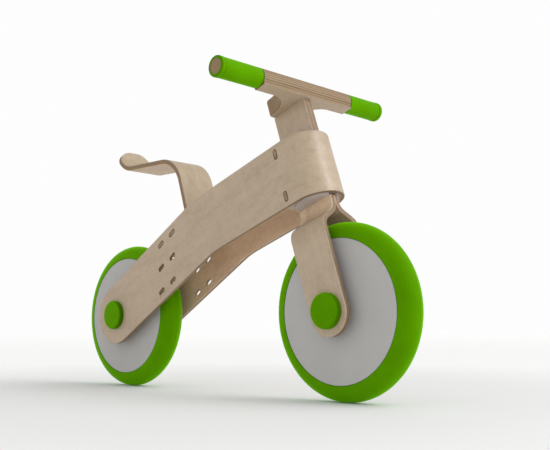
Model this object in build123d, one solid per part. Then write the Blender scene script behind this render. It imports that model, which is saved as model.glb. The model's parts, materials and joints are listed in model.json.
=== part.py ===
from build123d import *
import os
from math import cos, radians, sin, sqrt, tan

# Balance bike of bent plywood, in millimetres: X forward, Y to the rider's left, Z up, ground at Z = 0.

# Stance
wheelbase = 600
tyre_radius = 150
rake = 18.6

# Bent frame band: two side panels that run round the head as one U
frame_width = 100
frame_ply = 8
arm_depth = 121
arm_slope = 30.5
beam_depth = 118
head_low = 200.4
knee_radius = 190

# Seat slots in the arm: three rows of two
slot_length = 20.5
slot_width = 9.6
slot_slope = 37
slot_reach = 203
slot_spacing = 40.7
slot_row_drop = 47.4
slot_row_lean = 3.5
slot_rows = 3
slot_columns = 2

# Wooden keys that lock the head bearings into the band
key_length = 20
key_width = 9
key_depth = 16.5
key_setback = 24
key_inset = 18

# Fork strips: blade, crown, steerer neck, stem and tenon in one bent strip per side
fork_ply = 9.5
fork_width = 97
strip_width = 79
blade_drop = 3.5
crown_height = 170
crown_slope = 60
crown_radius = 20
neck_width = 70
shoulder_gap = 3
stem_height = 389.5
tenon_width = 46
tenon_height = 22

# Round steerer in its split bearings
journal_radius = 37
flange_radius = 38.8
flange_height = 4.5
flange_drop = 2.5
bearing_height = 34
saddle_length = 4.5
saddle_corner = 12
steer_clearance = 0.05
thrust_gap = 0.2
bolt_radius = 3
bolt_head_radius = 5
bolt_head_height = 6
bolt_grip = 48
bolt_spacing = 27
bolt_nut_width = 10
bolt_nut_height = 5

# Handlebar: one T of stacked plywood
bar_radius = 18
bar_forward = 35
bar_rise = 18.3
bar_length = 420
sole_width = 25
core_radius = 13.5
core_recess = 0.6
lug_width = 54
lug_corner = 12
lug_fillet = 46
lug_overhang = 1
lug_edge = 3.5
grip_length = 96
grip_collar = 9
grip_collar_rise = 0.5
grip_edge = 2.5
grip_lip = 1

# Wheels
tyre_crown_radius = 23
disc_radius = 121.8
disc_face = 23.9
disc_thickness = 4
disc_edge = 0.8
rim_radius = 110
rim_wall = 7
hub_nose_radius = 14
hub_flange_radius = 28
hub_flange_thickness = 5
hub_barrel_radius = 15
hub_bore_radius = 9
hub_recess = 0.5
disc_screw_radius = 2
disc_screw_circle = 21
disc_screw_length = 8
disc_screw_head_radius = 3.6
disc_screw_head_height = 2.2
disc_screws = 4

# Ball bearings, axles and their hardware
bearing_radius = 11
bearing_bore_radius = 4.03
bearing_width = 7
bearing_shield = 0.6
bearing_race = 2
axle_radius = 4
axle_clearance = 0.1
spacer_radius = 7
sleeve_radius = 5.8
washer_radius = 12
washer_thickness = 1.2
nut_width = 13
nut_thickness = 4
cap_radius = 30
cap_height = 10.5
cap_wall = 1.8
cap_rim = 4
cap_edge = 4

# Seat: one bent strip on a block between the panels
seat_ply = 10.3
seat_width = 83
seat_height = 467.6
seat_tilt = -0.9
seat_length = 191.5
seat_bend = 70.8
seat_lean = 18.4
tail_slope = 70.8
tail_length = 43.1
tail_bend = 50
tail_corner = 34
foot_bend = 33
ankle_gap = 6.8
block_height = 17
block_overlap = 14
seat_screw_radius = 2.5
seat_screw_head_radius = 4.5
seat_screw_head_height = 3
seat_screw_length = 18
seat_screw_pitch = 18
seat_screw_count = 4

# Rounding along the plywood edges, and the gap round a glued or pressed piece
ply_edge = 1.5
fit_gap = 0.1

# The side view is drawn with x forward and y up, the steering frame stands on the front axle.
rear = Vector(-wheelbase / 2, tyre_radius)
front = Vector(wheelbase / 2, tyre_radius)
arm_along = Vector(cos(radians(arm_slope)), sin(radians(arm_slope)))
arm_up = Vector(-arm_along.Y, arm_along.X)
beam_along = Vector(cos(radians(rake)), sin(radians(rake)))
beam_up = Vector(-beam_along.Y, beam_along.X)
steering = Plane(
    origin=(front.X, 0, front.Y),
    x_dir=(beam_along.X, 0, beam_along.Y),
    z_dir=(beam_up.X, 0, beam_up.Y),
).location
panel_face = frame_width / 2
panel_inner = panel_face - frame_ply
blade_face = fork_width / 2
blade_inner = blade_face - fork_ply
head_top = head_low + beam_depth
os.makedirs("parts", exist_ok=True)


def save(name, *solids):
    """Write one node, as a group where it holds several like solids."""
    shape = solids[0] if len(solids) == 1 else Compound(children=list(solids))
    shape.label = name
    export_step(shape, f"parts/{name}.step")


def meet(point_a, along_a, point_b, along_b):
    """Point where two lines of the side view cross."""
    step = point_b - point_a
    spread = along_a.X * along_b.Y - along_a.Y * along_b.X
    return point_a + along_a * ((step.X * along_b.Y - step.Y * along_b.X) / spread)


def across(sketch, low, high):
    """Side-view sketch made solid from Y = low to Y = high."""
    return Pos(0, high, 0) * (Plane.XZ * extrude(sketch, amount=high - low))


def turned(sketch, place):
    """Sketch of axial x and radial y, turned about the axle at a side-view place."""
    return Pos(place.X, 0, place.Y) * Rot(0, 0, 90) * revolve(sketch, Axis.X)


def ring(low, high, inner, outer):
    """Half section of a ring between two axial stations."""
    return Polygon((low, inner), (high, inner), (high, outer), (low, outer), align=None)


def mirrored(part):
    """The same piece on the other side of the bike."""
    return mirror(part, about=Plane.XZ)


def arm_point(along, up):
    """Side-view point measured along the arm from the rear axle and square to it."""
    return rear + arm_along * along + arm_up * up


def slot_place(row, column):
    """Side-view centre of a seat slot, rows from the top down and columns from the rear."""
    lean = radians(slot_row_lean)
    drop = Vector(sin(lean), -cos(lean)) * slot_row_drop
    middle_row = (slot_rows - 1) / 2
    middle_column = (slot_columns - 1) / 2
    return arm_point(slot_reach + slot_spacing * (column - middle_column), 0) + drop * (row - middle_row)


def slot_sketch(place, shrink=0):
    """Slanted seat slot in the side view."""
    slot = SlotOverall(slot_length - 2 * shrink, slot_width - 2 * shrink)
    return Pos(place.X, place.Y) * Rot(0, 0, slot_slope) * slot


def key_sketch(height, shrink=0):
    """Upright key or its slot beside the head, drawn in the steering frame's side view."""
    key = Rot(0, 0, 90) * SlotOverall(key_length - 2 * shrink, key_width - 2 * shrink)
    return Pos(-key_setback, height) * key


key_heights = [head_low + key_inset, head_top - key_inset]


def frame_band():
    """One plywood band: two panels from the rear axle, joined by a U round the head."""
    knee_low = meet(arm_point(0, -arm_depth / 2), arm_along, front + beam_up * head_low, beam_along)
    knee_top = meet(arm_point(0, arm_depth / 2), arm_along, front + beam_up * head_top, beam_along)
    heel_points = [arm_point(0, arm_depth / 2), arm_point(-arm_depth / 2, 0), arm_point(0, -arm_depth / 2)]
    heel = ThreePointArc(*heel_points)
    run = Polyline(
        arm_point(0, -arm_depth / 2),
        knee_low,
        front + beam_up * head_low,
        front + beam_up * head_top,
        knee_top,
        arm_point(0, arm_depth / 2),
    )
    panel = make_face(run + heel)
    knees = [panel.vertices().sort_by_distance(knee)[0] for knee in (knee_low, knee_top)]
    panel = fillet(knees, knee_radius)
    bend = Circle(panel_face) - Circle(panel_inner)
    bend -= Pos(-panel_face, 0) * Rectangle(2 * panel_face, 4 * panel_face)
    head = steering * Pos(0, 0, head_low) * extrude(bend, amount=beam_depth)
    band = across(panel, panel_inner, panel_face) + across(panel, -panel_face, -panel_inner) + head
    upright = Axis((0, 0, 0), (beam_up.X, 0, beam_up.Y))
    rims = band.edges().filter_by(Axis.Y, reverse=True).filter_by(upright, reverse=True)
    band = fillet(rims, ply_edge)
    for row in range(slot_rows):
        for column in range(slot_columns):
            band -= across(slot_sketch(slot_place(row, column)), -panel_face, panel_face)
    for height in key_heights:
        band -= steering * across(key_sketch(height), -panel_face, panel_face)
    band -= across(Pos(rear.X, rear.Y) * Circle(axle_radius + axle_clearance), -panel_face, panel_face)
    return band


def bearing_half(height, rearward):
    """Half of a split steering bearing: a thin liner in the bend, or a block behind the steerer."""
    bore = Circle(journal_radius + steer_clearance)
    if rearward:
        length = journal_radius + saddle_length
        body = Pos(-length / 2, 0) * Rectangle(length, 2 * (panel_inner - fit_gap))
        body = fillet(body.vertices().group_by(Axis.X)[0], saddle_corner)
    else:
        body = Circle(panel_inner - fit_gap)
        body -= Pos(-panel_inner, 0) * Rectangle(2 * panel_inner, 4 * panel_inner)
    half = Pos(0, 0, height) * extrude(body - bore, amount=bearing_height)
    if rearward:
        inner = panel_face - key_depth - fit_gap
        for key in key_heights:
            half -= across(key_sketch(key), inner, panel_face)
            half -= across(key_sketch(key), -panel_face, -inner)
    return steering * half


def head_key(height):
    """Left-hand key through the panel into the bearing block."""
    return steering * across(key_sketch(height, fit_gap), panel_face - key_depth, panel_face)


flange_low = head_low - flange_drop
lower_bearing = flange_low + flange_height + thrust_gap
upper_bearing = head_top - flange_height - thrust_gap - bearing_height
bolt_heights = [(head_low + head_top) / 2 + bolt_spacing * step for step in (-1, 0, 1)]


def bolt_bore(radius, low, high):
    """Row of cross holes through the steerer, in the steering frame."""
    holes = Sketch() + [Pos(0, height) * Circle(radius) for height in bolt_heights]
    return across(holes, low, high)


def fork_strip():
    """Left strip: round blade end at the axle, S-bend at the crown, neck, stem and tenon."""
    foot = strip_width / 2
    top = stem_height + tenon_height
    slope = radians(crown_slope)
    path = FilletPolyline(
        (0, top),
        (0, crown_height),
        (blade_inner, crown_height - blade_inner / tan(slope)),
        (blade_inner, -foot - blade_drop),
        radius=[crown_radius + fork_ply, crown_radius],
    )
    section = make_face(offset(path, amount=fork_ply, side=Side.LEFT))
    strip = extrude(Plane.YZ * section, amount=strip_width, both=True)
    neck_low = flange_low - thrust_gap
    neck_high = head_top + shoulder_gap
    front_view = Pos(0, (neck_low - blade_drop) / 2) * Rectangle(strip_width, neck_low + blade_drop)
    front_view += Pos(0, -blade_drop) * Circle(foot)
    front_view += Pos(0, (neck_low + neck_high) / 2) * Rectangle(neck_width, neck_high - neck_low)
    front_view += Pos(0, (neck_high + stem_height) / 2) * Rectangle(strip_width, stem_height - neck_high)
    front_view += Pos(0, (stem_height + top) / 2) * Rectangle(tenon_width, tenon_height)
    front_view -= Circle(axle_radius + axle_clearance)
    strip &= across(front_view, 0, fork_width)
    rims = strip.edges().filter_by(Axis.X, reverse=True).filter_by(Axis.Y, reverse=True)
    strip = fillet(rims.filter_by(lambda e: e.center().Z < 0 or abs(e.center().X) > foot - fit_gap), ply_edge)
    return steering * (strip - bolt_bore(bolt_radius + fit_gap, 0, fork_width))


def half_round(radius):
    """Left part of a disc beyond the fork strip's face."""
    keep = Pos(0, fork_ply + radius / 2) * Rectangle(2 * radius, radius)
    return Circle(radius) & keep


def steerer_segment():
    """Left half-round segment that makes the flat strips a round steerer, with a flange at each end."""
    length = head_top - flange_low
    segment = Pos(0, 0, flange_low) * extrude(half_round(journal_radius), amount=length)
    for low in (flange_low, head_top - flange_height):
        segment += Pos(0, 0, low) * extrude(half_round(flange_radius), amount=flange_height)
    segment -= bolt_bore(bolt_radius + fit_gap, 0, frame_width)
    segment -= bolt_bore(bolt_nut_width / sqrt(3) + 2 * fit_gap, bolt_grip / 2, frame_width)
    return steering * segment


def steerer_bolt(height):
    """Cross bolt through both segments and both strips, its head on the right."""
    shank = across(Circle(bolt_radius), -bolt_grip / 2, bolt_grip / 2 + bolt_nut_height)
    head = across(Circle(bolt_head_radius), -bolt_grip / 2 - bolt_head_height, -bolt_grip / 2)
    head -= across(RegularPolygon(bolt_radius, 6), -blade_face, -bolt_grip / 2 - bolt_head_height / 2)
    return steering * Pos(0, 0, height) * (shank + head)


def hexagon_nut(width, thickness, bore):
    """Hexagon nut lying from Y = 0 to Y = thickness."""
    return across(RegularPolygon(width / 2, 6, major_radius=False) - Circle(bore), 0, thickness)


bar_height = stem_height + bar_rise


def handlebar():
    """T of stacked plywood: a lug over the stem, a round bar on a flat sole and cores for the grips."""
    sole_half = sole_width / 2
    sole_rear = bar_forward - sole_half
    lug_height = bar_rise + sqrt(bar_radius**2 - sole_half**2)
    lug_rear = -strip_width / 2 + lug_overhang
    lug_half = lug_width / 2
    core_half = bar_length / 2 - core_recess
    bar_half = bar_length / 2 - grip_length
    corners = [(bar_forward, bar_half), (sole_rear, bar_half), (sole_rear, lug_half), (lug_rear, lug_half)]
    plan = Polygon(*corners, *[(x, -y) for x, y in reversed(corners)], align=None)
    inside = plan.vertices().filter_by(lambda v: abs(v.X - sole_rear) < fit_gap)
    plan = fillet(inside.filter_by(lambda v: abs(v.Y) < lug_half + fit_gap), lug_fillet)
    outside = plan.vertices().filter_by(lambda v: abs(v.X - lug_rear) < fit_gap)
    plan = fillet(outside, lug_corner)
    lug = Pos(0, 0, stem_height) * extrude(plan, amount=lug_height)
    middle = stem_height + lug_height / 2
    rims = lug.edges().filter_by(lambda e: abs(e.center().Z - middle) > lug_height / 2 - fit_gap)
    rims = rims.filter_by(lambda e: e.center().X < sole_rear + fit_gap)
    lug = fillet(rims, lug_edge)
    sole = Box(sole_half, 2 * bar_half, bar_rise)
    sole = Pos(bar_forward + sole_half / 2, 0, stem_height + bar_rise / 2) * sole
    bar = across(Circle(bar_radius), -bar_half, bar_half) + across(Circle(core_radius), -core_half, core_half)
    bar = Pos(bar_forward, 0, bar_height) * bar
    flat = Pos(bar_forward, 0, stem_height - bar_radius) * Box(4 * bar_radius, 2 * bar_half, 2 * bar_radius)
    mortise_width = tenon_width + 2 * fit_gap
    mortise_plan = Rectangle(mortise_width, 2 * (fork_ply + fit_gap))
    mortise = Pos(0, 0, stem_height) * extrude(mortise_plan, amount=tenon_height + fit_gap)
    return steering * (lug + sole + (bar - flat) - mortise)


def grip():
    """Left sleeve grip, open at the end, with a raised collar at the tip."""
    inner = bar_length / 2 - grip_length
    outer = bar_length / 2
    sleeve = ring(inner, outer, core_radius + fit_gap, bar_radius)
    collar = ring(outer - grip_collar, outer, core_radius + fit_gap, bar_radius + grip_collar_rise)
    body = revolve(sleeve + collar, Axis.X)
    tip = body.edges().filter_by(GeomType.CIRCLE).filter_by(lambda e: abs(e.center().X - outer) < fit_gap)
    body = fillet(tip.sort_by(lambda e: e.radius)[-1], grip_edge)
    lip = body.edges().filter_by(GeomType.CIRCLE).filter_by(lambda e: abs(e.center().X - inner) < fit_gap)
    body = fillet(lip.sort_by(lambda e: e.radius)[-1], grip_lip)
    return steering * Pos(bar_forward, 0, bar_height) * Rot(0, 0, 90) * body


def tyre(place):
    """Solid tyre clamped between the wheel discs: round crown running into fuller flanks."""
    shoulder = disc_face - disc_thickness
    crown_rise = tyre_radius - tyre_crown_radius - disc_radius
    flank = (disc_face**2 + crown_rise**2 - tyre_crown_radius**2) / (2 * (disc_face - tyre_crown_radius))
    reach = flank - tyre_crown_radius
    blend = Vector((flank - disc_face) / reach, crown_rise / reach) * tyre_crown_radius
    blend += Vector(0, tyre_radius - tyre_crown_radius)
    lower = Vector(disc_face, disc_radius)
    side = TangentArc(lower, blend, tangent=(0, 1))
    crown = ThreePointArc(blend, Vector(0, tyre_radius), Vector(-blend.X, blend.Y))
    base = Polyline(
        (-disc_face, disc_radius),
        (-shoulder, disc_radius),
        (-shoulder, rim_radius),
        (shoulder, rim_radius),
        (shoulder, disc_radius),
        (disc_face, disc_radius),
    )
    return turned(make_face(side + crown + mirror(side, about=Plane.YZ) + base), place)


def screw_ring(radius):
    """Circle of disc screws or their holes, seen along the axle."""
    return Sketch() + PolarLocations(disc_screw_circle, disc_screws) * Circle(radius)


def wheel_disc(place):
    """Left wheel disc, bored for the hub nose."""
    section = ring(disc_face - disc_thickness, disc_face, hub_nose_radius + fit_gap, disc_radius - fit_gap)
    body = revolve(section, Axis.X)
    outer = body.edges().filter_by(GeomType.CIRCLE).sort_by(lambda e: e.center().X + e.radius)[-1]
    body = fillet(outer, disc_edge)
    holes = Pos(place.X, place.Y) * screw_ring(disc_screw_radius + fit_gap)
    return Pos(place.X, 0, place.Y) * Rot(0, 0, 90) * body - across(holes, 0, disc_face)


def wheel_hub(place):
    """Hub spool: flanges inside the discs, noses through them and a seat for a bearing at each end."""
    shoulder = disc_face - disc_thickness
    end = disc_face - hub_recess
    seat = end - bearing_width - fit_gap
    profile = ring(-end, end, hub_bore_radius, hub_nose_radius)
    profile += ring(-shoulder, shoulder, hub_bore_radius, hub_barrel_radius)
    for low in (-shoulder, shoulder - hub_flange_thickness):
        profile += ring(low, low + hub_flange_thickness, hub_bore_radius, hub_flange_radius)
    for low in (-end, seat):
        profile -= ring(low, low + end - seat, 0, bearing_radius + fit_gap / 2)
    holes = Pos(place.X, place.Y) * screw_ring(disc_screw_radius + fit_gap)
    depth = disc_screw_length - disc_thickness + fit_gap
    body = turned(profile, place)
    return body - across(holes, shoulder - depth, shoulder) - across(holes, -shoulder, depth - shoulder)


def ball_bearing(place):
    """Left ball bearing with recessed shields."""
    end = disc_face - hub_recess - fit_gap
    section = ring(end - bearing_width, end, bearing_bore_radius, bearing_radius)
    for low in (end - bearing_width, end - bearing_shield):
        high = low + bearing_shield
        section -= ring(low, high, bearing_bore_radius + bearing_race, bearing_radius - bearing_race)
    return turned(section, place)


def disc_screw_set(place):
    """Screws that hold the left disc to the hub flange."""
    shank = across(screw_ring(disc_screw_radius), disc_face - disc_screw_length, disc_face)
    heads = across(screw_ring(disc_screw_head_radius), disc_face, disc_face + disc_screw_head_height)
    return [Pos(place.X, 0, place.Y) * screw for screw in (shank + heads).solids()]


def hub_cap(place, face):
    """Left hub cap: a shallow dish with a clip ring round the axle washer."""
    top = face + cap_height
    profile = ring(face, top, 0, cap_radius)
    profile = fillet(profile.vertices().sort_by(lambda v: v.X + v.Y)[-1], cap_edge)
    profile -= ring(face, top - cap_wall, 0, cap_radius - cap_rim)
    profile += ring(face, top - cap_wall, washer_radius + fit_gap, washer_radius + cap_wall)
    return turned(profile, place)


def wheel_set(name, place, inner, outer):
    """A wheel with its axle, held between two plates with faces at Y = inner and Y = outer."""
    shoulder = disc_face - disc_thickness
    save(f"{name}_tyre", tyre(place))
    save(f"{name}_rim", turned(ring(-shoulder, shoulder, rim_radius - rim_wall, rim_radius - fit_gap), place))
    save(f"{name}_disc_left", wheel_disc(place))
    save(f"{name}_disc_right", mirrored(wheel_disc(place)))
    save(f"{name}_hub", wheel_hub(place))
    save(f"{name}_bearing_left", ball_bearing(place))
    save(f"{name}_bearing_right", mirrored(ball_bearing(place)))
    screws = disc_screw_set(place)
    save(f"{name}_disc_screws", *screws, *[mirrored(screw) for screw in screws])
    race = disc_face - hub_recess - fit_gap
    bore = axle_radius + axle_clearance
    sleeve = race - bearing_width - thrust_gap
    save(f"{name}_sleeve", turned(ring(-sleeve, sleeve, bore, sleeve_radius), place))
    spacer = turned(ring(race + thrust_gap, inner, bore, spacer_radius), place)
    save(f"{name}_spacers", spacer, mirrored(spacer))
    tip = outer + washer_thickness + nut_thickness
    save(f"{name}_axle", turned(ring(-tip, tip, 0, axle_radius), place))
    washer = turned(ring(outer, outer + washer_thickness, bore, washer_radius), place)
    save(f"{name}_washers", washer, mirrored(washer))
    nut = hexagon_nut(nut_width, nut_thickness, axle_radius + fit_gap / 2)
    nut = Pos(place.X, outer + washer_thickness, place.Y) * nut
    save(f"{name}_nuts", nut, mirrored(nut))
    save(f"{name}_cap_left", hub_cap(place, outer))
    save(f"{name}_cap_right", mirrored(hub_cap(place, outer)))


block_low = arm_up.dot(slot_place(0, 0) - rear) - block_height / 2
block_start = arm_along.dot(slot_place(0, 0) - rear) - block_overlap
block_end = arm_along.dot(slot_place(0, slot_columns - 1) - rear) + block_overlap
foot_low = block_low - seat_ply


def seat():
    """One bent strip: upturned tail, flat pan, leg between the panels and a foot under the block."""
    tilt = radians(seat_tilt)
    lean = radians(seat_lean)
    bend_reach = foot_bend * tan(radians(90 + seat_lean - arm_slope) / 2)
    ankle = arm_point(block_end + ankle_gap + bend_reach, foot_low)
    nose = meet(ankle, Vector(sin(lean), -cos(lean)), Vector(0, seat_height), Vector(1, 0))
    hollow = nose - Vector(cos(tilt), sin(tilt)) * seat_length
    tail_angle = radians(tail_slope)
    tail = hollow + Vector(-cos(tail_angle), sin(tail_angle)) * tail_length
    toe = arm_point(block_start, foot_low)
    path = FilletPolyline(tail, hollow, nose, ankle, toe, radius=[tail_bend, seat_bend, foot_bend])
    strip = across(make_face(offset(path, amount=seat_ply, side=Side.RIGHT)), -seat_width / 2, seat_width / 2)
    tail_way = (hollow - tail).normalized()
    tail_plane = Plane(
        origin=(tail.X, 0, tail.Y),
        x_dir=(tail_way.X, 0, tail_way.Y),
        z_dir=(-tail_way.Y, 0, tail_way.X),
    )
    rest = seat_width / 2 - tail_corner
    for side in (1, -1):
        corner = Pos(tail_corner / 2, side * (rest + tail_corner / 2)) * Rectangle(tail_corner, tail_corner)
        corner -= Pos(tail_corner, side * rest) * Circle(tail_corner)
        strip -= tail_plane.location * extrude(corner, amount=2 * seat_ply, both=True)
    rims = strip.edges().filter_by(lambda e: abs(e.length - seat_width) > fit_gap)
    rims = rims.filter_by(lambda e: e.length > 1.5 * seat_ply or e.bounding_box().size.Y > fit_gap)
    strip = fillet(rims, ply_edge)
    for place in seat_screw_places():
        strip -= place * Cylinder(seat_screw_radius + fit_gap, 4 * seat_ply)
    return strip


def seat_screw_places():
    """Seats of the row of screws under the foot, between the keys, pointing up into the block."""
    spot = arm_point((block_start + block_end) / 2, foot_low)
    row = [seat_screw_pitch * (step - (seat_screw_count - 1) / 2) for step in range(seat_screw_count)]
    up = (arm_up.X, 0, arm_up.Y)
    return [Plane(origin=(spot.X, y, spot.Y), x_dir=(0, 1, 0), z_dir=up).location for y in row]


def seat_screw(place):
    """Screw through the foot into the block, its head below the foot."""
    base = (Align.CENTER, Align.CENTER, Align.MIN)
    shank = Cylinder(seat_screw_radius, seat_screw_length, align=base)
    head = Cylinder(seat_screw_head_radius, seat_screw_head_height, align=base)
    return place * (shank + Pos(0, 0, -seat_screw_head_height) * head)


def seat_block():
    """Block between the panels on top of the seat's foot, mortised for the seat keys."""
    corners = [(block_start, 0), (block_end, 0), (block_end, block_height), (block_start, block_height)]
    body = make_face(Polyline(*[arm_point(along, block_low + up) for along, up in corners], close=True))
    for column in range(slot_columns):
        body -= slot_sketch(slot_place(0, column))
    block = across(body, fit_gap - panel_inner, panel_inner - fit_gap)
    for place in seat_screw_places():
        block -= place * Cylinder(seat_screw_radius + fit_gap, 2 * (seat_screw_length + fit_gap))
    return block


def seat_key(column):
    """Flat key across both panels and the block."""
    return across(slot_sketch(slot_place(0, column), fit_gap), -panel_face, panel_face)


# Frame and head bearings
save("frame_band", frame_band())
save("head_bearing_front_lower", bearing_half(lower_bearing, rearward=False))
save("head_bearing_rear_lower", bearing_half(lower_bearing, rearward=True))
save("head_bearing_front_upper", bearing_half(upper_bearing, rearward=False))
save("head_bearing_rear_upper", bearing_half(upper_bearing, rearward=True))
left_keys = [head_key(height) for height in key_heights]
save("head_keys", *left_keys, *[mirrored(key) for key in left_keys])

# Seat
save("seat", seat())
save("seat_block", seat_block())
save("seat_keys", *[seat_key(column) for column in range(slot_columns)])
save("seat_screws", *[seat_screw(place) for place in seat_screw_places()])

# Fork and steerer
save("fork_strip_left", fork_strip())
save("fork_strip_right", mirrored(fork_strip()))
save("steerer_segment_left", steerer_segment())
save("steerer_segment_right", mirrored(steerer_segment()))
save("steerer_bolts", *[steerer_bolt(height) for height in bolt_heights])
steerer_nut = hexagon_nut(bolt_nut_width, bolt_nut_height, bolt_radius + fit_gap / 2)
steerer_nut = Pos(0, bolt_grip / 2, 0) * steerer_nut
save("steerer_nuts", *[steering * Pos(0, 0, height) * steerer_nut for height in bolt_heights])

# Handlebar
save("handlebar", handlebar())
save("grip_left", grip())
save("grip_right", mirrored(grip()))

# Wheels
wheel_set("front", front, blade_inner, blade_face)
wheel_set("rear", rear, panel_inner, panel_face)
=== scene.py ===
# Balance bike of bent birch plywood on disc wheels: its finishes, keys and screws, and a white studio.
import json
import math

import bpy
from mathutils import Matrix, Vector


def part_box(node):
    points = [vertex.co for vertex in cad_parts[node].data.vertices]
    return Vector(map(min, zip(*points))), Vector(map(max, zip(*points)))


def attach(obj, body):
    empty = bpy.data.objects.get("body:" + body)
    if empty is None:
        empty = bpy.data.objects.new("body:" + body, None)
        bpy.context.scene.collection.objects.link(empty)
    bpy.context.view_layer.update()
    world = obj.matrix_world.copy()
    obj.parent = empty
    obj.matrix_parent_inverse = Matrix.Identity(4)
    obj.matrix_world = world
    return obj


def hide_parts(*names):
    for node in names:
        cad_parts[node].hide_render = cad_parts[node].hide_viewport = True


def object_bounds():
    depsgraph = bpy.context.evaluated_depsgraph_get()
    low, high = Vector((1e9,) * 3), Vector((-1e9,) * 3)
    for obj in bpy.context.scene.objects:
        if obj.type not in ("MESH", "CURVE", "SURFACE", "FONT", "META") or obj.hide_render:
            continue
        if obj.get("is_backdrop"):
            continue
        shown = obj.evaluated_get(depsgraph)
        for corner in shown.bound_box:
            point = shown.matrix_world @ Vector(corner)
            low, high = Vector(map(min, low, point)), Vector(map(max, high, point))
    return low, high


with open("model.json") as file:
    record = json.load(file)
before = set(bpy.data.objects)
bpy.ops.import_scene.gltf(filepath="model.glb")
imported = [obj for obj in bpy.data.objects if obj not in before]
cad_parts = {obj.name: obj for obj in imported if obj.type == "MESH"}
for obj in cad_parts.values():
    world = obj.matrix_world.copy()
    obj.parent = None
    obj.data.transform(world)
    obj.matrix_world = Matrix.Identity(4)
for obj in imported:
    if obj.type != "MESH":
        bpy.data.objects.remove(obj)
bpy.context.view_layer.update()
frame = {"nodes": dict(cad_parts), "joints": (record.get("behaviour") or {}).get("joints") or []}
bpy.ops.object.select_all(action="DESELECT")


# Frame band
# One sheet of birch plywood bent into a long U: two side panels that run on round the head.
# The slots are routed, the edges are rounded and sanded with the plies in view, and all of it is oiled.
band_half_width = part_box("frame_band")[1].y
band_thickness = 0.008
band_plies = 7
# The back, the inside of the U, is tinted paler and warmer: painted light for light bounced between the
# panels.
band_painted_light_tints = ((1, 1, 1), (1.42, 1.34, 1.32))
birch_pale = (0.535, 0.416, 0.296, 1)
birch_mid = (0.476, 0.366, 0.257, 1)
birch_deep = (0.395, 0.292, 0.196, 1)
birch_fleck = (0.600, 0.478, 0.352, 1)
edge_pale = (0.405, 0.275, 0.155, 1)
edge_cross = (0.245, 0.152, 0.076, 1)
glue_brown = (0.095, 0.058, 0.033, 1)
steer = next(joint for joint in frame["joints"] if joint["name"] == "steer")
front_axle = Vector(steer["pos_m"])
rake = math.atan2(-steer["axis"][0], steer["axis"][2])

# Figure of the veneer: a grain is a stretch along, across and into the sheet, a detail and a roughness
cloud_grain = ((16, 28, 24), 3.0)
sway_grain = ((2.6, 9, 6), 2.0)
curl_grain = ((62, 74, 40), 4.0, 0.62)
fibre_grain = ((14, 460, 460), 5.0, 0.65)
fleck_grain = ((230, 150, 90), 3.0, 0.6)
pore_grain = ((70, 1400, 900), 2.0)
speck_grain = ((700, 700, 700), 3.0)
years_a_metre = 12
year_sway = 5.0
cloud_share = 0.24
year_share = 0.14
curl_share = 0.34
fibre_share = 0.36
deep_tone = 0.34
mid_tone = 0.50
pale_tone = 0.66
noise_spread = (0.3, 0.7)
fleck_edge = (0.56, 0.70)
fleck_share = 0.45
pore_edge = (0.64, 0.74)
pore_share = 0.22

# Layers of the plywood: the glue line's edges are shares of a ply from its middle
skin_share = 0.1
edge_fibres = 0.5
speck_edge = (0.35, 0.7)
speck_share = 0.45
glue_edge = (0.40, 0.47)
glue_share = 0.75

# Oiled surface of the plywood: fibres and edges are duller, flecks shinier, and the relief is in metres
oiled_rough = 0.30
fibre_rough = 0.22
edge_rough = 0.14
fleck_shine = 0.16
oiled_gloss = 0.42
ply_relief = 0.0002
fibre_rise = 0.5
glue_sink = 0.5
pit_edge = (0.62, 0.74)
pit_sink = 0.3


def add(tree, kind, values=(), **settings):
    """A shader node with its settings made, and its inputs set to values or joined to other outputs."""
    made = tree.nodes.new("ShaderNode" + kind)
    for name, value in settings.items():
        setattr(made, name, value)
    for name, value in dict(values).items():
        if isinstance(value, bpy.types.NodeSocket):
            tree.links.new(value, made.inputs[name])
        else:
            made.inputs[name].default_value = value
    return made


def calc(tree, operation, *terms):
    """One sum on numbers and outputs."""
    return add(tree, "Math", enumerate(terms), operation=operation).outputs[0]


def vector(tree, operation, *terms):
    """One sum on places, colours or directions."""
    made = add(tree, "VectorMath", enumerate(terms), operation=operation)
    return made.outputs["Value" if operation in ("LENGTH", "DISTANCE", "DOT_PRODUCT") else "Vector"]


def remap(tree, value, low, high, new_low, new_high):
    """A value moved from one range to another and held inside it."""
    values = {"Value": value, "From Min": low, "From Max": high, "To Min": new_low, "To Max": new_high}
    return add(tree, "MapRange", values).outputs["Result"]


def mix(tree, share, first, second):
    """Two colours mixed by a share."""
    made = add(tree, "Mix", {0: share, 6: first, 7: second}, data_type="RGBA")
    return made.outputs[2]


def noise(tree, place, stretch, detail=4.0, roughness=0.55):
    """Noise on a place that is stretched so many times along each axis."""
    values = {"Vector": vector(tree, "MULTIPLY", place, stretch), "Scale": 1.0}
    return add(tree, "TexNoise", {**values, "Detail": detail, "Roughness": roughness}).outputs[0]


def axes_of(tree, place):
    """A place as its three numbers."""
    return add(tree, "SeparateXYZ", {0: place}).outputs


def on_bike(tree):
    """Place on the bike: ahead of its middle, to the left, and above the ground."""
    return add(tree, "TexCoord").outputs["Object"]


def in_frame(tree, origin, slope):
    """Place from an origin, in a frame that is tipped back by a slope: ahead, to the left and up."""
    values = {"Vector": on_bike(tree), "Location": origin, "Rotation": (0, -slope, 0)}
    return add(tree, "Mapping", values, vector_type="TEXTURE").outputs[0]


def new_finish(name):
    """An empty material, as (material, node tree, shader)."""
    material = bpy.data.materials.new(name)
    material.use_nodes = True
    return material, material.node_tree, material.node_tree.nodes["Principled BSDF"]


def join(tree, shader, **outputs):
    """Outputs joined to the shader's sockets, named with underscores for spaces."""
    for name, output in outputs.items():
        tree.links.new(output, shader.inputs[name.replace("_", " ")])


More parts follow.
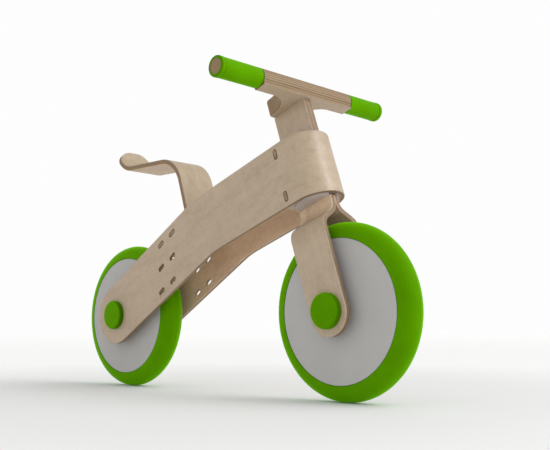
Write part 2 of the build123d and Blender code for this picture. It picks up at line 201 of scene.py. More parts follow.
def bump(tree, shader, height, depth):
    """Relief of a depth in metres on the shader's surface."""
    made = add(tree, "Bump", {"Height": height, "Distance": depth, "Strength": 1.0})
    join(tree, shader, Normal=made.outputs[0])


def dress(material, *names):
    """The finish on the frame's own pieces of these names."""
    for name in names:
        for slot in frame["nodes"][name].material_slots:
            slot.material = material


def birch_face(tree, along, across, depth):
    """Peeled birch veneer with soft clouds, curl and year bands, as (colour, fibres, pores, flecks)."""
    sheet = add(tree, "CombineXYZ", {0: along, 1: across, 2: depth}).outputs[0]
    clouds = noise(tree, sheet, *cloud_grain)
    curl = noise(tree, sheet, *curl_grain)
    fibres = noise(tree, sheet, *fibre_grain)
    pores = noise(tree, sheet, *pore_grain)
    flecks = remap(tree, noise(tree, sheet, *fleck_grain), *fleck_edge, 0, 1)
    sway = calc(tree, "MULTIPLY", noise(tree, sheet, *sway_grain), year_sway)
    years = calc(tree, "PINGPONG", calc(tree, "MULTIPLY_ADD", across, years_a_metre, sway), 0.5)
    tone = calc(tree, "MULTIPLY", clouds, cloud_share)
    tone = calc(tree, "MULTIPLY_ADD", years, year_share, tone)
    tone = calc(tree, "MULTIPLY_ADD", curl, curl_share, tone)
    tone = calc(tree, "MULTIPLY_ADD", fibres, fibre_share, tone)
    face = add(tree, "ValToRGB", {"Fac": tone})
    tones = face.color_ramp.elements
    tones[0].position = deep_tone
    tones[0].color = birch_deep
    tones[1].position = pale_tone
    tones[1].color = birch_pale
    tones.new(mid_tone).color = birch_mid
    wood = mix(tree, calc(tree, "MULTIPLY", flecks, fleck_share), face.outputs[0], birch_fleck)
    wood = mix(tree, remap(tree, pores, *pore_edge, 0, pore_share), wood, birch_deep)
    return wood, fibres, pores, flecks


def plywood(name, sheet, thickness, plies, tints=((1, 1, 1), (1, 1, 1)), layers=(edge_pale, edge_cross),
            veneer=1.0, painted_patches=()):
    """Oiled birch plywood on a sheet function: the place along the grain, across it and below the face.

    The tints of the face and of the back paint light and shade on each side, the layers are the two colours
    in the edge, and the veneer is the share of the outer layer that is face wood. A painted patch is a
    place of painted light or painted shade, with its tint.
    """
    material, tree, shader = new_finish(name)
    along, across, depth = sheet(tree)
    ply = thickness / plies
    within = (skin_share * ply, thickness - skin_share * ply)
    depth = remap(tree, depth, *within, *within)
    face, fibres, pores, flecks = birch_face(tree, along, across, depth)
    on_back = calc(tree, "GREATER_THAN", depth, thickness / 2)
    front, back = [vector(tree, "MULTIPLY", face, tint) for tint in tints]
    face = mix(tree, on_back, front, back)
    for patch, tint in painted_patches:
        face = mix(tree, patch(tree), face, vector(tree, "MULTIPLY", face, tint))
    layer = calc(tree, "DIVIDE", depth, ply)
    number = calc(tree, "FLOOR", layer)
    inside = calc(tree, "COMPARE", layer, plies / 2, plies / 2 - veneer)
    specks = noise(tree, on_bike(tree), *speck_grain)
    core = mix(tree, remap(tree, fibres, *noise_spread, 0, edge_fibres), *layers)
    core = mix(tree, calc(tree, "MODULO", number, 2), core, layers[1])
    core = mix(tree, remap(tree, specks, *speck_edge, 0, speck_share), core, glue_brown)
    from_middle = calc(tree, "ABSOLUTE", calc(tree, "SUBTRACT", calc(tree, "FRACT", layer), 0.5))
    glue = remap(tree, from_middle, *glue_edge, 0, glue_share)
    wood = mix(tree, glue, mix(tree, inside, face, core), glue_brown)
    rough = calc(tree, "MULTIPLY_ADD", inside, edge_rough, oiled_rough)
    rough = calc(tree, "MULTIPLY_ADD", fibres, fibre_rough, rough)
    rough = calc(tree, "MULTIPLY_ADD", flecks, -fleck_shine, rough)
    join(tree, shader, Base_Color=wood, Roughness=rough)
    shader.inputs["Specular IOR Level"].default_value = oiled_gloss
    relief = calc(tree, "MULTIPLY", fibres, fibre_rise)
    relief = calc(tree, "SUBTRACT", relief, calc(tree, "MULTIPLY", glue, glue_sink))
    relief = calc(tree, "SUBTRACT", relief, remap(tree, pores, *pit_edge, 0, pit_sink))
    bump(tree, shader, relief, ply_relief)
    return material


def band_sheet(tree):
    """The band unrolled: along it from the middle of the bend, up it, and in from its outer face."""
    ahead, left, up = axes_of(tree, in_frame(tree, front_axle, rake))
    round_bend = calc(tree, "MAXIMUM", ahead, 0)
    aside = calc(tree, "ABSOLUTE", left)
    turn = calc(tree, "MULTIPLY", calc(tree, "ARCTAN2", aside, round_bend), band_half_width)
    along = calc(tree, "SUBTRACT", turn, calc(tree, "MINIMUM", ahead, 0))
    along = calc(tree, "MULTIPLY", along, calc(tree, "SIGN", left))
    reach = vector(tree, "LENGTH", add(tree, "CombineXYZ", {0: round_bend, 1: aside}).outputs[0])
    return along, up, calc(tree, "SUBTRACT", band_half_width, reach)


dress(plywood("bent_band_ply", band_sheet, band_thickness, band_plies, band_painted_light_tints), "frame_band")


# Steering bearings
# Split rings that hold the steerer: in the bend of the head a thin grey nylon liner, and behind the
# steerer a block of stacked plywood. The steerer's half-round segments of the same nylon turn in them,
# with a flange at each end.
nylon_grey = (0.53, 0.475, 0.435, 1)
head_block_lows = {"lower": 0.2026, "upper": 0.2797}
head_block_height = 0.034
head_block_plies = 11

# Moulded surfaces: soft clouds, a fine texture, rubbed spots and lines cut into them and painted as shade
mould_clouds = ((26, 26, 26), 3.0)
mould_rubs = ((60, 60, 60), 5.0, 0.7)
texture_detail = 3.0
texture_edge = (0.55, 0.75)
texture_share = 0.25
rub_range = 0.24
line_shade = 0.35
line_share = 0.8
line_sink = 6.0
bloom_rough = 0.5


def shaded(colour, share):
    """A colour made so many times as bright."""
    return (*[share * part for part in colour[:3]], 1)


def moulded(name, colour, mottle, roughness, gloss, texture, relief, bloom=0.0, scored=None):
    """Moulded plastic or rubber with clouds of a depth and a fine texture of so many grains a metre.

    The bloom is its soft sheen, and the scored function gives the strength of lines cut into the surface:
    they are sunk in the relief and painted darker as painted shade.
    """
    material, tree, shader = new_finish(name)
    place = on_bike(tree)
    clouds = noise(tree, place, *mould_clouds)
    grain = noise(tree, place, (texture, texture, texture), texture_detail)
    rubbed = noise(tree, place, *mould_rubs)
    darker = shaded(colour, 1 - mottle)
    tint = mix(tree, remap(tree, clouds, *noise_spread, 0, 1), darker, shaded(colour, 1 + mottle))
    tint = mix(tree, remap(tree, grain, *texture_edge, 0, texture_share), tint, darker)
    height = grain
    if scored:
        lines = scored(tree)
        # The cut lines are painted darker as shade.
        tint = mix(tree, calc(tree, "MULTIPLY", lines, line_share), tint, shaded(colour, line_shade))
        height = calc(tree, "MULTIPLY_ADD", lines, -line_sink, grain)
    rough = calc(tree, "MULTIPLY_ADD", rubbed, rub_range, roughness - rub_range / 2)
    join(tree, shader, Base_Color=tint, Roughness=rough)
    bump(tree, shader, height, relief)
    shader.inputs["Specular IOR Level"].default_value = gloss
    shader.inputs["Specular Tint"].default_value = colour
    shader.inputs["Sheen Weight"].default_value = bloom
    shader.inputs["Sheen Roughness"].default_value = bloom_rough
    shader.inputs["Sheen Tint"].default_value = shaded(colour, 1 / max(colour[:3]))
    return material


def head_block_sheet(low):
    """The sheet of a block from so far up the steering axis: along the bike, across it, up its layers."""

    def sheet(tree):
        ahead, left, up = axes_of(tree, in_frame(tree, front_axle, rake))
        return ahead, left, calc(tree, "SUBTRACT", up, low)

    return sheet


nylon = moulded("bearing_nylon", nylon_grey, mottle=0.05, roughness=0.50, gloss=0.15, texture=2600,
                relief=0.00005)
dress(nylon, "head_bearing_front_lower", "head_bearing_front_upper")
dress(nylon, "steerer_segment_left", "steerer_segment_right")
for where, low in head_block_lows.items():
    block = plywood(f"{where}_head_block_ply", head_block_sheet(low), head_block_height, head_block_plies)
    dress(block, f"head_bearing_rear_{where}")


# Wooden keys
# Flat keys of beech driven into the slots, their end grain showing in the panels, rims painted as shade.
# Two long ones carry the seat block in the top row of slots, and four short ones hold the head's blocks.
key_ease = 0.0017
key_ease_steps = 2
key_flat_margin = 0.1 * key_ease
key_sides = 50
smooth_angle = math.radians(35)
head_key_size = (0.0198, 0.0088, 0.0165)
head_key_setback = 0.024
head_key_heights = (0.2184, 0.3004)
seat_key_size = (0.0203, 0.0094, 2 * band_half_width)
slot_slope = math.radians(37)
slot_reach = 0.203
slot_spacing = 0.0407
slot_row_rise = 0.0474
slot_row_lean = math.radians(3.5)
beech_pale = (0.385, 0.265, 0.158, 1)
beech_dark = (0.215, 0.135, 0.074, 1)
# Dark browns of the eased rims: painted shade where each key meets its slot.
rim_shade_brown = (0.050, 0.030, 0.016, 1)
rim_shade_pale = (0.100, 0.064, 0.036, 1)
beech_pores = ((1600, 40, 1600), 3.0)
beech_rays = ((260, 30, 1300), 4.0)
beech_years = ((120, 12, 300), 2.0)
beech_tones = (0.34, 0.64)
beech_pore_edge = (0.56, 0.70)
beech_pore_share = 0.6
sawn_rough = (0.52, 0.72)
sawn_relief = 0.0001


def pick(piece, kind, fits):
    """Into edit mode with only those vertices, edges or faces selected whose middle fits."""
    bpy.ops.object.mode_set(mode="EDIT")
    bpy.ops.mesh.select_mode(type=kind)
    bpy.ops.mesh.select_all(action="DESELECT")
    bpy.ops.object.mode_set(mode="OBJECT")
    mesh = piece.data
    places = [vertex.co for vertex in mesh.vertices]
    if kind == "VERT":
        middles = zip(mesh.vertices, places)
    elif kind == "EDGE":
        middles = [(edge, (places[edge.vertices[0]] + places[edge.vertices[1]]) / 2) for edge in mesh.edges]
    else:
        middles = [(face, face.center) for face in mesh.polygons]
    for part, middle in middles:
        part.select = fits(middle)
    bpy.ops.object.mode_set(mode="EDIT")


def wooden_key(length, width, depth, finish, rim_shade_finish):
    """A flat key across the bike: a rod drawn out to an oval, its end rims eased and painted as shade."""
    tip = depth / 2
    bpy.ops.object.select_all(action="DESELECT")
    bpy.ops.mesh.primitive_cylinder_add(vertices=key_sides, radius=width / 2, depth=depth,
                                        rotation=(math.pi / 2, 0, 0))
    key = bpy.context.object
    bpy.ops.object.transform_apply(rotation=True)
    for way in (1, -1):
        pick(key, "VERT", lambda middle: middle.z * way > 0)
        bpy.ops.transform.translate(value=(0, 0, way * (length - width) / 2))
    pick(key, "EDGE", lambda middle: abs(middle.y) > tip - key_ease / 2)
    bpy.ops.mesh.bevel(offset=key_ease, segments=key_ease_steps)
    pick(key, "FACE", lambda middle: tip - key_ease < abs(middle.y) < tip - key_flat_margin)
    key.data.materials.append(finish)
    key.data.materials.append(rim_shade_finish)
    key.active_material_index = 1
    bpy.ops.object.material_slot_assign()
    bpy.ops.object.mode_set(mode="OBJECT")
    bpy.ops.object.shade_smooth_by_angle(angle=smooth_angle)
    return key


def set_in(master, places, node, body):
    """Copies of a master at places and turns, joined to one piece that stands for a node of the frame."""
    copies = []
    for place, turn in places:
        bpy.ops.object.select_all(action="DESELECT")
        master.select_set(True)
        bpy.context.view_layer.objects.active = master
        bpy.ops.object.duplicate()
        bpy.context.object.location = place
        bpy.context.object.rotation_euler = turn
        copies.append(bpy.context.object)
    bpy.ops.object.select_all(action="DESELECT")
    for copy in copies:
        copy.select_set(True)
    bpy.ops.object.transform_apply(location=True, rotation=True)
    bpy.ops.object.join()
    piece = bpy.context.object
    piece.name = f"{node}_made"
    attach(piece, body)
    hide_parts(node)


def scrap(master):
    """A master cleared away once its copies are in place."""
    bpy.ops.object.select_all(action="DESELECT")
    master.select_set(True)
    bpy.ops.object.delete()


def end_grain(name, pale, dark):
    """Beech with its grain across the bike: rays and pores on the sawn ends."""
    material, tree, shader = new_finish(name)
    place = on_bike(tree)
    pores = noise(tree, place, *beech_pores)
    rays = noise(tree, place, *beech_rays)
    years = noise(tree, place, *beech_years)
    tone = calc(tree, "MULTIPLY", calc(tree, "ADD", rays, years), 0.5)
    wood = mix(tree, remap(tree, tone, *beech_tones, 0, 1), dark, pale)
    wood = mix(tree, remap(tree, pores, *beech_pore_edge, 0, beech_pore_share), wood, dark)
    join(tree, shader, Base_Color=wood, Roughness=remap(tree, pores, *noise_spread, *sawn_rough))
    bump(tree, shader, pores, sawn_relief)
    return material


key_beech = end_grain("key_beech", beech_pale, beech_dark)
key_rim_shade = end_grain("key_rim_shade", rim_shade_pale, rim_shade_brown)
steer_up = Vector((-math.sin(rake), 0, math.cos(rake)))
steer_ahead = Vector((math.cos(rake), 0, math.sin(rake)))
head_key_middle = band_half_width - head_key_size[2] / 2
head_places = []
for height in head_key_heights:
    for left in (head_key_middle, -head_key_middle):
        place = front_axle + steer_up * height - steer_ahead * head_key_setback + Vector((0, left, 0))
        head_places.append((place, (0, -rake, 0)))
head_key = wooden_key(*head_key_size, key_beech, key_rim_shade)
set_in(head_key, head_places, "head_keys", "frame")
scrap(head_key)

rear_axle = Vector((-front_axle.x, 0, front_axle.z))
arm_slope = math.radians(30.5)
arm_way = Vector((math.cos(arm_slope), 0, math.sin(arm_slope)))
top_row = rear_axle + Vector((-math.sin(slot_row_lean), 0, math.cos(slot_row_lean))) * slot_row_rise
seat_key_spots = [top_row + arm_way * (slot_reach + way * slot_spacing / 2) for way in (-1, 1)]
seat_key = wooden_key(*seat_key_size, key_beech, key_rim_shade)
seat_places = [(spot, (0, math.pi / 2 - slot_slope, 0)) for spot in seat_key_spots]
set_in(seat_key, seat_places, "seat_keys", "frame")
scrap(seat_key)


# Fork strips
# Two strips of plywood bent to an S at the crown: blades round the wheel, above them steerer and stem.
# The plies follow the bends, so the layers are measured from the strip's inner face. A band of the neck
# under the head is painted paler as painted light, the bend below it is painted darker as painted shade,
# and the inner faces are tinted less green to take out light bounced from the tyre.
fork_thickness = 0.0095
fork_plies = 7
fork_bends = (0.0295, 0.020)
strip_top = 0.43
blade_foot = -0.06
blade_inner = 0.039
crown_top = 0.170
crown_slope = math.radians(60)
crown_foot = crown_top - blade_inner / math.tan(crown_slope)
strips_apart = 0.7
# The inner faces are tinted less green: painted light that takes out the green bounced from the tyre.
fork_painted_light_tints = ((0.98, 0.82, 0.92), (1, 1, 1))
# The neck's paler band is painted light.
painted_light_tint = (1.46, 1.42, 1.36)
painted_light_zone = (0.164, 0.186, 0.200, 0.205)
# The bend's darker band is painted shade.
painted_shade_tint = (0.86, 0.83, 0.78)
painted_shade_zone = (0.112, 0.150, 0.165, 0.168)
stretch_reach = 0.62


def bent_depth(tree, place, path, bends, thickness, side):
    """Depth in a bent strip below the face that its path lies on. The side is the axis it bends about."""
    points = [Vector(point) for point in path]
    ways = [(after - before).normalized() for before, after in zip(points, points[1:])]
    turns = [before.angle(after) for before, after in zip(ways, ways[1:])]
    trims = [radius * math.tan(turn / 2) for radius, turn in zip(bends, turns)]
    flat = vector(tree, "MULTIPLY", place, [1 - abs(part) for part in side])
    side = Vector(side)
    depth = 0.0
    taken = 0.0

    def claim(found, fits):
        """The depth and the share of the strip taken so far, with what a stretch of it adds."""
        near = calc(tree, "COMPARE", found, thickness / 2, stretch_reach * thickness)
        free = calc(tree, "SUBTRACT", 1.0, taken)
        held = calc(tree, "MULTIPLY", calc(tree, "MULTIPLY", near, fits), free)
        return calc(tree, "MULTIPLY_ADD", held, found, depth), calc(tree, "ADD", taken, held)

    for start, end, way, trim_in, trim_out in zip(points, points[1:], ways, [0, *trims], [*trims, 0]):
        normal = way.cross(side)
        run = (end - start).length - trim_in - trim_out
        reach = calc(tree, "SUBTRACT", vector(tree, "DOT_PRODUCT", flat, way), start.dot(way) + trim_in)
        below = calc(tree, "SUBTRACT", vector(tree, "DOT_PRODUCT", flat, normal), start.dot(normal))
        depth, taken = claim(below, calc(tree, "COMPARE", reach, run / 2, run / 2))
    for corner, before, after, radius, trim in zip(points[1:], ways, ways[1:], bends, trims):
        normal = before.cross(side)
        inward = 1 if after.dot(normal) > 0 else -1
        centre = corner - before * trim + normal * radius * inward
        below = calc(tree, "SUBTRACT", radius, vector(tree, "DISTANCE", flat, centre))
        depth, taken = claim(calc(tree, "MULTIPLY", below, inward), 1.0)
    return depth


def fork_sheet(tree):
    """The strip's length, its width and the depth from its inner face, with other grain on each strip."""
    ahead, left, up = axes_of(tree, in_frame(tree, front_axle, rake))
    along = calc(tree, "MULTIPLY_ADD", calc(tree, "SIGN", left), strips_apart, up)
    outward = add(tree, "CombineXYZ", {0: ahead, 1: calc(tree, "ABSOLUTE", left), 2: up}).outputs[0]
    path = [
        (0, 0, strip_top),
        (0, 0, crown_top),
        (0, blade_inner, crown_foot),
        (0, blade_inner, blade_foot),
    ]
    return along, ahead, bent_depth(tree, outward, path, fork_bends, fork_thickness, (-1, 0, 0))


def up_the_fork(starts, full, fades, ends):
    """A patch between heights on the steering axis, that comes in and fades again."""

    def patch(tree):
        up = axes_of(tree, in_frame(tree, front_axle, rake))[2]
        comes_in = remap(tree, up, starts, full, 0, 1)
        return calc(tree, "MULTIPLY", comes_in, remap(tree, up, fades, ends, 1, 0))

    return patch


# Painted light on the neck and painted shade at the bend.
fork_painted_patches = ((up_the_fork(*painted_light_zone), painted_light_tint), (up_the_fork(*painted_shade_zone), painted_shade_tint))
fork_ply = plywood("bent_fork_ply", fork_sheet, fork_thickness, fork_plies, fork_painted_light_tints,
                   painted_patches=fork_painted_patches)
dress(fork_ply, "fork_strip_left", "fork_strip_right")


# Handlebar
# A T cut from a block of stacked plywood, turned round along the bar, its flat sole seated on the stem.
# The layers lie across the steering axis, so their edges run as lines along the bar.
stem_top = 0.3895
bar_thickness = 0.0363
bar_plies = 19
bar_veneer = 0.25
bar_dark = (0.177, 0.100, 0.042, 1)
bar_light = (0.421, 0.280, 0.138, 1)


def bar_sheet(tree):
    """Along the bar, across it, and up through its layers."""
    ahead, left, up = axes_of(tree, in_frame(tree, front_axle, rake))
    return left, ahead, calc(tree, "SUBTRACT", up, stem_top)


bar_ply = plywood("stacked_bar_ply", bar_sheet, bar_thickness, bar_plies, layers=(bar_dark, bar_light),
                  veneer=bar_veneer)
dress(bar_ply, "handlebar")


# Grips
# Sleeves of soft green rubber pushed over the thinner ends of the bar, with a raised collar at the tip.
# They are open at the end, so the bar's wood shows.
# Lines of painted shade mark the mouth, the collar's foot and the tip.
grip_green = (0.102, 0.326, 0.0005, 1)
grip_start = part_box("grip_left")[0].y
grip_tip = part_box("grip_left")[1].y
collar_width = 0.009
mouth_line = (grip_start, 0.0030, 1.0)
collar_line = (grip_tip - collar_width, 0.0010, 0.45)
tip_line = (grip_tip, 0.0014, 0.6)


def grip_shade_lines(tree):
    """The grip's lines of painted shade: a place along the bar, a reach to both sides of it and a strength.
    """
    aside = calc(tree, "ABSOLUTE", axes_of(tree, on_bike(tree))[1])
    score = 0.0
    for place, reach, strength in (collar_line, tip_line, mouth_line):
        score = calc(tree, "MULTIPLY_ADD", calc(tree, "COMPARE", aside, place, reach), strength, score)
    return score


grip_rubber = moulded("grip_rubber", grip_green, mottle=0.08, roughness=0.40, gloss=0.01, texture=1800,
                      relief=0.00006, bloom=0.4, scored=grip_shade_lines)
dress(grip_rubber, "grip_left", "grip_right")


# Wheels
# A hub spool on two ball bearings, two grey discs screwed to it, and a solid green tyre between the discs.
# The discs are moulded with a fine matt grain. The tyre is satin, with a parting line round its crown
# and a groove where each disc meets it, both sunk and painted darker as shade.
disc_grey = (0.482, 0.476, 0.464, 1)
core_grey = (0.18, 0.18, 0.18, 1)
tyre_green = (0.086, 0.270, 0.0005, 1)
disc_radius = 0.1218
parting_line = 0.0003
bead_line = 0.0011


def from_axle(tree):
    """Distance from the nearer axle, seen from the side."""
    ahead, left, up = axes_of(tree, on_bike(tree))
    beside = calc(tree, "SUBTRACT", calc(tree, "ABSOLUTE", ahead), front_axle.x)
    above = calc(tree, "SUBTRACT", up, front_axle.z)
    return vector(tree, "LENGTH", add(tree, "CombineXYZ", {0: beside, 2: above}).outputs[0])


def tyre_shade_lines(tree):
    """Painted shade in the line where the mould's halves met round the crown, and in the groove by the
    discs.
    """
    parting = calc(tree, "COMPARE", axes_of(tree, on_bike(tree))[1], 0.0, parting_line)
    bead = calc(tree, "COMPARE", from_axle(tree), disc_radius, bead_line)
    return calc(tree, "MAXIMUM", parting, bead)


disc_plastic = moulded("disc_plastic", disc_grey, mottle=0.02, roughness=0.55, gloss=0.15, texture=3200,
                       relief=0.00005)
core_plastic = moulded("core_plastic", core_grey, mottle=0.08, roughness=0.50, gloss=0.2, texture=1500,
                       relief=0.0001)
tyre_rubber = moulded("tyre_rubber", tyre_green, mottle=0.06, roughness=0.40, gloss=0.01, texture=2200,
                      relief=0.00007, bloom=0.85, scored=tyre_shade_lines)
for wheel in ("front", "rear"):
    dress(disc_plastic, f"{wheel}_disc_left", f"{wheel}_disc_right")
    dress(core_plastic, f"{wheel}_rim", f"{wheel}_hub")
    dress(tyre_rubber, f"{wheel}_tyre")


# Axles and fasteners
# Plated steel axles with sleeves, spacers, washers and nuts, ground bearings, and the cross bolts of the
# steerer. Turning leaves fine rings round the axle. Four pan-head screws hold each disc to the hub.
steel_pale = (0.62, 0.63, 0.65, 1)
steel_dark = (0.42, 0.43, 0.45, 1)
lathe_marks = ((300, 9000, 300), 3.0)
steel_stain = ((110, 110, 110), 4.0)
stain_edge = (0.35, 0.65)
mark_rough = 0.25
mark_polish = 0.12
mark_relief = 0.00002
disc_screw_size = (0.0036, 0.0022, 0.002, 0.008)
disc_screw_circle = 0.021
disc_screws = 4
screw_sides = 48
screw_rounding = 0.28
screw_round_steps = 4
socket_sides = 6
socket_size = 0.5
socket_depth = 1.2


def turned_metal(name, roughness):
    """Bright metal with fine lathe marks across the bike."""
    material, tree, shader = new_finish(name)
    place = on_bike(tree)
    marks = noise(tree, place, *lathe_marks)
    stain = noise(tree, place, *steel_stain)
    tint = mix(tree, remap(tree, stain, *stain_edge, 0, 1), steel_dark, steel_pale)
    rough = calc(tree, "MULTIPLY_ADD", marks, mark_rough, roughness - mark_polish)
    join(tree, shader, Base_Color=tint, Roughness=rough)
    shader.inputs["Metallic"].default_value = 1.0
    bump(tree, shader, marks, mark_relief)
    return material


def socket_screw(head, height, shank, length, finish):
    """A pan-head screw that points up from the origin: its shank drawn from the head, and a socket.

    The rounding and the socket's depth are shares of the head's height, the socket's size of its radius.
    """
    bpy.ops.object.select_all(action="DESELECT")
    bpy.ops.mesh.primitive_cylinder_add(vertices=screw_sides, radius=head, depth=height,
                                        location=(0, 0, -height / 2))
    screw = bpy.context.object
    bpy.ops.object.transform_apply(location=True)
    pick(screw, "FACE", lambda middle: middle.z > -height / 4)
    bpy.ops.mesh.inset(thickness=head - shank)
    bpy.ops.mesh.extrude_region_move(TRANSFORM_OT_translate={"value": (0, 0, length)})
    pick(screw, "EDGE", lambda middle: middle.z < -height * 3 / 4)
    bpy.ops.mesh.bevel(offset=screw_rounding * height, segments=screw_round_steps)
    bpy.ops.object.mode_set(mode="OBJECT")
    bpy.ops.object.select_all(action="DESELECT")
    bpy.ops.mesh.primitive_cylinder_add(vertices=socket_sides, radius=socket_size * head,
                                        depth=socket_depth * height, location=(0, 0, -height))
    socket = bpy.context.object
    bpy.ops.object.select_all(action="DESELECT")
    screw.select_set(True)
    bpy.context.view_layer.objects.active = screw
    cut = screw.modifiers.new("socket", "BOOLEAN")
    cut.object = socket
    cut.operation = "DIFFERENCE"
    bpy.ops.object.modifier_apply(modifier=cut.name)
    screw.data.materials.append(finish)
    bpy.ops.object.shade_smooth_by_angle(angle=smooth_angle)
    scrap(socket)
    return screw


plated_steel = turned_metal("plated_steel", roughness=0.34)
ground_steel = turned_metal("ground_steel", roughness=0.22)
dress(plated_steel, "steerer_bolts", "steerer_nuts")
disc_screw = socket_screw(*disc_screw_size, plated_steel)
for wheel, axle in (("front", front_axle), ("rear", rear_axle)):
    for piece in ("axle", "sleeve", "spacers", "washers", "nuts"):
        dress(plated_steel, f"{wheel}_{piece}")
    dress(ground_steel, f"{wheel}_bearing_left", f"{wheel}_bearing_right")
    disc_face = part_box(f"{wheel}_disc_left")[1].y
    screw_places = []
    for number in range(disc_screws):
        turn = number * 2 * math.pi / disc_screws
        spoke = Vector((math.cos(turn), 0, math.sin(turn))) * disc_screw_circle
        for side in (1, -1):
            place = Vector((axle.x, side * disc_face, axle.z)) + spoke
            screw_places.append((place, (side * math.pi / 2, 0, 0)))
    set_in(disc_screw, screw_places, f"{wheel}_disc_screws", f"{wheel}_wheel")
scrap(disc_screw)


# Hub caps
# Shallow dishes of satin green plastic that clip over the axle nuts.
# Their rims are rounded over, the face is plain, and the rim's foot has painted shade where it meets the
# wood.
cap_green = (0.084, 0.260, 0.0005, 1)
cap_radius = (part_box("front_cap_left")[1].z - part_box("front_cap_left")[0].z) / 2
cap_foot_line = 0.0018
cap_foot_shade = 0.9


def cap_foot_painted_shade(tree):
    """Painted shade on the foot of the rim, which comes in towards the edge."""
    return remap(tree, from_axle(tree), cap_radius - cap_foot_line, cap_radius, 0, cap_foot_shade)


cap_plastic = moulded("cap_plastic", cap_green, mottle=0.05, roughness=0.36, gloss=0.01, texture=1400,
                      relief=0.00004, bloom=0.6, scored=cap_foot_painted_shade)
for wheel in ("front", "rear"):
    dress(cap_plastic, f"{wheel}_cap_left", f"{wheel}_cap_right")


# Seat
# One strip of plywood bent to a pan with an upturned tail, a leg between the panels and a foot.
# The foot is screwed to a block from below, and the seat keys hold the block in the top row of slots.
seat_thickness = 0.0103
seat_plies = 7
# The top face is tinted darker as painted shade, and the underside warmer as painted light.
seat_painted_light_tints = ((0.94, 0.94, 0.88), (1.12, 0.98, 0.78))
tail_bend = 0.050
nose_bend = 0.0708
ankle_bend = 0.033
seat_height = 0.4676
pan_length = 0.1915
pan_tilt = math.radians(-0.9)
leg_lean = math.radians(18.4)
tail_length = 0.0431
tail_slope = math.radians(70.8)
ankle_gap = 0.0068
block_height = 0.017
block_overlap = 0.014
block_plies = 11
seat_screw_size = (0.0045, 0.003, 0.0025, 0.018)
seat_screw_spacing = 0.018
seat_screws = 4
arm_normal = Vector((-arm_way.z, 0, arm_way.x))
first_key = seat_key_spots[0] - rear_axle
block_start = first_key.dot(arm_way) - block_overlap
block_length = slot_spacing + 2 * block_overlap
foot_low = first_key.dot(arm_normal) - block_height / 2 - seat_thickness
ankle_reach = ankle_gap + ankle_bend * math.tan((math.pi / 2 + leg_lean - arm_slope) / 2)
toe = rear_axle + arm_way * block_start + arm_normal * foot_low
ankle = toe + arm_way * (block_length + ankle_reach)
nose = ankle + Vector((-math.tan(leg_lean), 0, 1)) * (seat_height - ankle.z)
hollow = nose - Vector((math.cos(pan_tilt), 0, math.sin(pan_tilt))) * pan_length
tail = hollow + Vector((-math.cos(tail_slope), 0, math.sin(tail_slope))) * tail_length


def seat_sheet(tree):
    """Along the seat, across it, and in from its top face."""
    place = on_bike(tree)
    ahead, left, up = axes_of(tree, place)
    path = [tail, hollow, nose, ankle, toe]
    bends = [tail_bend, nose_bend, ankle_bend]
    depth = bent_depth(tree, place, path, bends, seat_thickness, (0, -1, 0))
    return calc(tree, "SUBTRACT", ahead, up), left, depth


def block_sheet(tree):
    """Across the bike, along the arm and up through the block."""
    ahead, left, up = axes_of(tree, in_frame(tree, toe + arm_normal * seat_thickness, arm_slope))
    return left, ahead, up


dress(plywood("bent_seat_ply", seat_sheet, seat_thickness, seat_plies, seat_painted_light_tints), "seat")
dress(plywood("seat_block_ply", block_sheet, block_height, block_plies), "seat_block")
seat_screw = socket_screw(*seat_screw_size, plated_steel)
seat_screw_places = []
for number in range(seat_screws):
    left = seat_screw_spacing * (number - (seat_screws - 1) / 2)
    place = toe + arm_way * block_length / 2 + Vector((0, left, 0))
    seat_screw_places.append((place, (0, -arm_slope, 0)))
set_in(seat_screw, seat_screw_places, "seat_screws", "frame")
scrap(seat_screw)


# Studio
# A plain pale floor that glows more as it runs out, one soft sun from the front left, an even white room,
# a tall strip of light and a low camera. A second strip in the same place shows in reflections alone.
# The background is as bright as the far floor, so no horizon shows.
white = (1, 1, 1, 1)
floor_size = 60.0
floor_pale = (0.850, 0.850, 0.843, 1)
floor_fleck = (0.60, 0.60, 0.60, 1)
floor_grain = ((900, 900, 900), 2.0)
floor_fleck_share = 0.06
floor_rough = 0.9
near_floor = (0.6, 1.4)
near_floor_glow = 0.118
far_floor = (1.4, 9.0)
far_floor_glow = 0.07
room_sides = 0.95
room_top = 0.60
backdrop_light = 0.985
sun_way = Vector((-1.8, -1.12, -2.2))
sun_spread = math.radians(55)
sun_power = 0.95
strip_place = Vector((2.3, 0.72, 1.25))
strip_target = Vector((0.25, 0, 0.3))
strip_size = (0.7, 1.9)
strip_power = 8
shine_power = 40
camera_place = (1.2035, -1.0737, 0.1219)
camera_turn = (math.radians(97.07), 0, math.radians(44.96))
camera_lens = 54.48
camera_film = 36


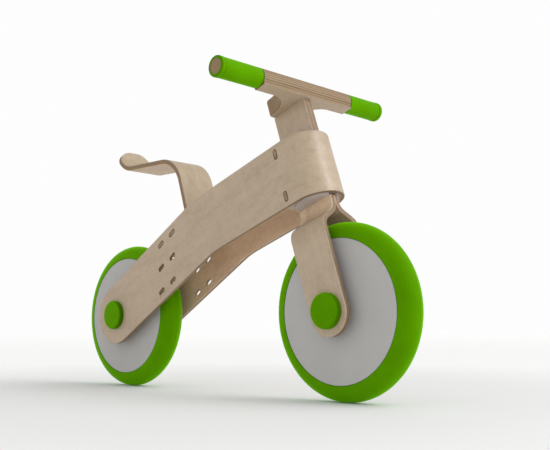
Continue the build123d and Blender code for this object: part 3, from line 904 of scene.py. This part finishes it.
def facing(way):
    """The turn of a light that shines in a direction."""
    return way.to_track_quat("-Z", "Y").to_euler()


bpy.ops.mesh.primitive_plane_add(size=floor_size, location=(0, 0, 0))
floor = bpy.context.object
floor.name = "floor"
paper, tree, shader = new_finish("floor_paper")
place = on_bike(tree)
flecks = remap(tree, noise(tree, place, *floor_grain), *noise_spread, 0, floor_fleck_share)
away = vector(tree, "LENGTH", place)
near_glow = remap(tree, away, *near_floor, 0, near_floor_glow)
far_glow = remap(tree, away, *far_floor, 0, far_floor_glow)
join(tree, shader, Base_Color=mix(tree, flecks, floor_pale, floor_fleck))
join(tree, shader, Emission_Strength=calc(tree, "ADD", near_glow, far_glow))
shader.inputs["Emission Color"].default_value = white
shader.inputs["Roughness"].default_value = floor_rough
floor.data.materials.append(paper)
floor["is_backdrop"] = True

room = bpy.data.worlds.new("white_room")
room.use_nodes = True
tree = room.node_tree
backdrop = tree.nodes["Background"]
backdrop.inputs["Color"].default_value = white
seen = add(tree, "LightPath").outputs["Is Camera Ray"]
height = axes_of(tree, add(tree, "TexCoord").outputs["Generated"])[2]
glow = remap(tree, height, 0, 1, room_sides, room_top)
join(tree, backdrop, Strength=remap(tree, seen, 0, 1, glow, backdrop_light))
bpy.context.scene.world = room

bpy.ops.object.light_add(type="SUN", location=-sun_way, rotation=facing(sun_way))
sun = bpy.context.object
sun.name = "soft_sun"
sun.data.angle = sun_spread
sun.data.energy = sun_power

strip_turn = facing(strip_target - strip_place)
strips = (("strip_light", strip_power, True), ("shine_light", shine_power, False))
for name, power, lights_surfaces in strips:
    bpy.ops.object.light_add(type="AREA", location=strip_place, rotation=strip_turn)
    strip = bpy.context.object
    strip.name = name
    strip.data.shape = "RECTANGLE"
    strip.data.size, strip.data.size_y = strip_size
    strip.data.energy = power
    strip.visible_diffuse = lights_surfaces

bpy.ops.object.camera_add(location=camera_place, rotation=camera_turn)
camera = bpy.context.object
camera.data.lens = camera_lens
camera.data.sensor_width = camera_film
bpy.context.scene.camera = camera
bpy.context.scene.view_settings.view_transform = "Standard"

low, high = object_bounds()
